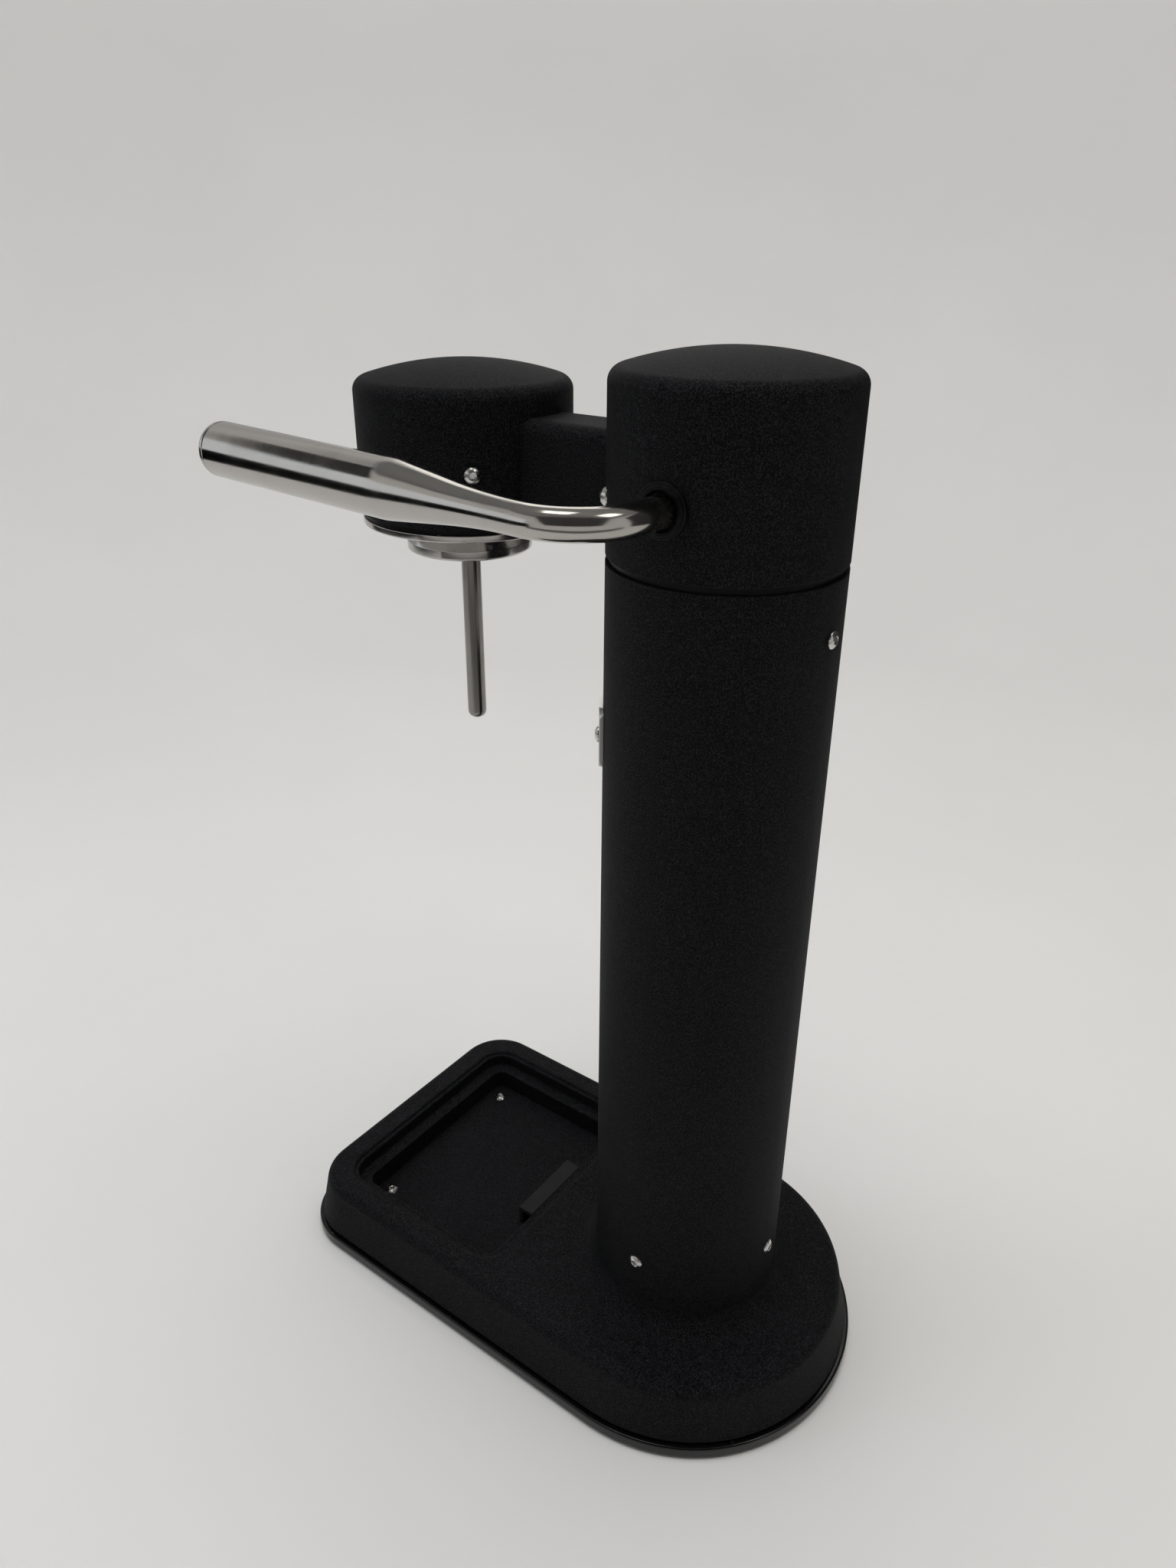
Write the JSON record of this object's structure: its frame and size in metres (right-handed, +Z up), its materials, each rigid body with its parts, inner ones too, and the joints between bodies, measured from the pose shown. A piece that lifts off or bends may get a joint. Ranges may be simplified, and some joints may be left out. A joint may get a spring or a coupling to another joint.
{
  "type": "sparkling water maker",
  "caption": "Column-shaped sparkling water maker: long base with a drip tray recess, drum with a side pull lever, bridge to a round head with bottle collar and nozzle.",
  "frame": {"origin": "the column's axis on the standing plane, in the mouth of the gas cylinder's bay", "axes": "+Z up along the column, -Y to the front where the nozzle and the tray recess are, +X to the lever"},
  "size_m": [0.1567, 0.254, 0.414],
  "materials": {
    "powder_black": "fine-textured matte powder coat",
    "gloss_black": "gloss",
    "rubber_black": "matte",
    "bush_black": "satin",
    "lever_steel": "finely brushed, bright",
    "polished_steel": "polished",
    "sheet_steel": "brushed",
    "screw_steel": "bright",
    "machined_steel": "machined",
    "brass": "machined",
    "cast_aluminium": "cast and machined",
    "core_plastic": "matte"
  },
  "bodies": {
    "body": {"foot_mat": "rubber_black", "base_plate": "gloss_black", "base_housing": "powder_black", "base_screws": "screw_steel", "tray_screws": "screw_steel", "tray_catch": "powder_black", "column_tube": "powder_black", "column_foot_screws": "screw_steel", "column_top_screws": "screw_steel", "front_plate": "sheet_steel", "front_plate_screws": "screw_steel", "parting_ring": "gloss_black", "drum_shell": "powder_black", "drum_screws": "screw_steel", "bridge": "powder_black", "head_shell": "powder_black", "head_screws": "screw_steel", "head_ring": "gloss_black", "flange_ring": "polished_steel", "flange_screws": "screw_steel", "bottle_collar": "polished_steel", "bottle_seal": "rubber_black", "head_core": "core_plastic", "nozzle": "polished_steel", "head_fitting": "brass", "relief_valve": "brass", "gas_tube": "machined_steel", "outlet_fitting": "brass", "valve_frame": "cast_aluminium", "gas_receiver": "brass", "receiver_screws": "screw_steel", "receiver_gasket": "rubber_black", "pin_seal": "rubber_black", "return_spring": "machined_steel", "lever_bush": "bush_black", "shaft_bearings": "brass"},
    "lever": {"lever_arm": "lever_steel", "grip_cap": "lever_steel", "cam_shaft": "machined_steel", "lever_pin": "machined_steel", "cam": "machined_steel", "cam_pin": "machined_steel", "retaining_rings": "machined_steel"},
    "tappet": {"tappet": "machined_steel"}
  },
  "joints": [
    {"name": "lever_pull", "type": "hinge", "parent": "body", "child": "lever", "pos_m": [0, 0, 0.372], "axis": [1, 0, 0], "range_deg": [0, 50], "stiffness_Nm_per_rad": 1.5, "springref_deg": -28.65},
    {"name": "tappet_slide", "type": "slide", "parent": "body", "child": "tappet", "axis": [0, 0, -1], "range_m": [0, 0.003], "deforming": ["return_spring"]}
  ],
  "couplings": [
    {"joint": "tappet_slide", "follows": "lever_pull", "m_per_rad": 0.0034377}
  ]
}
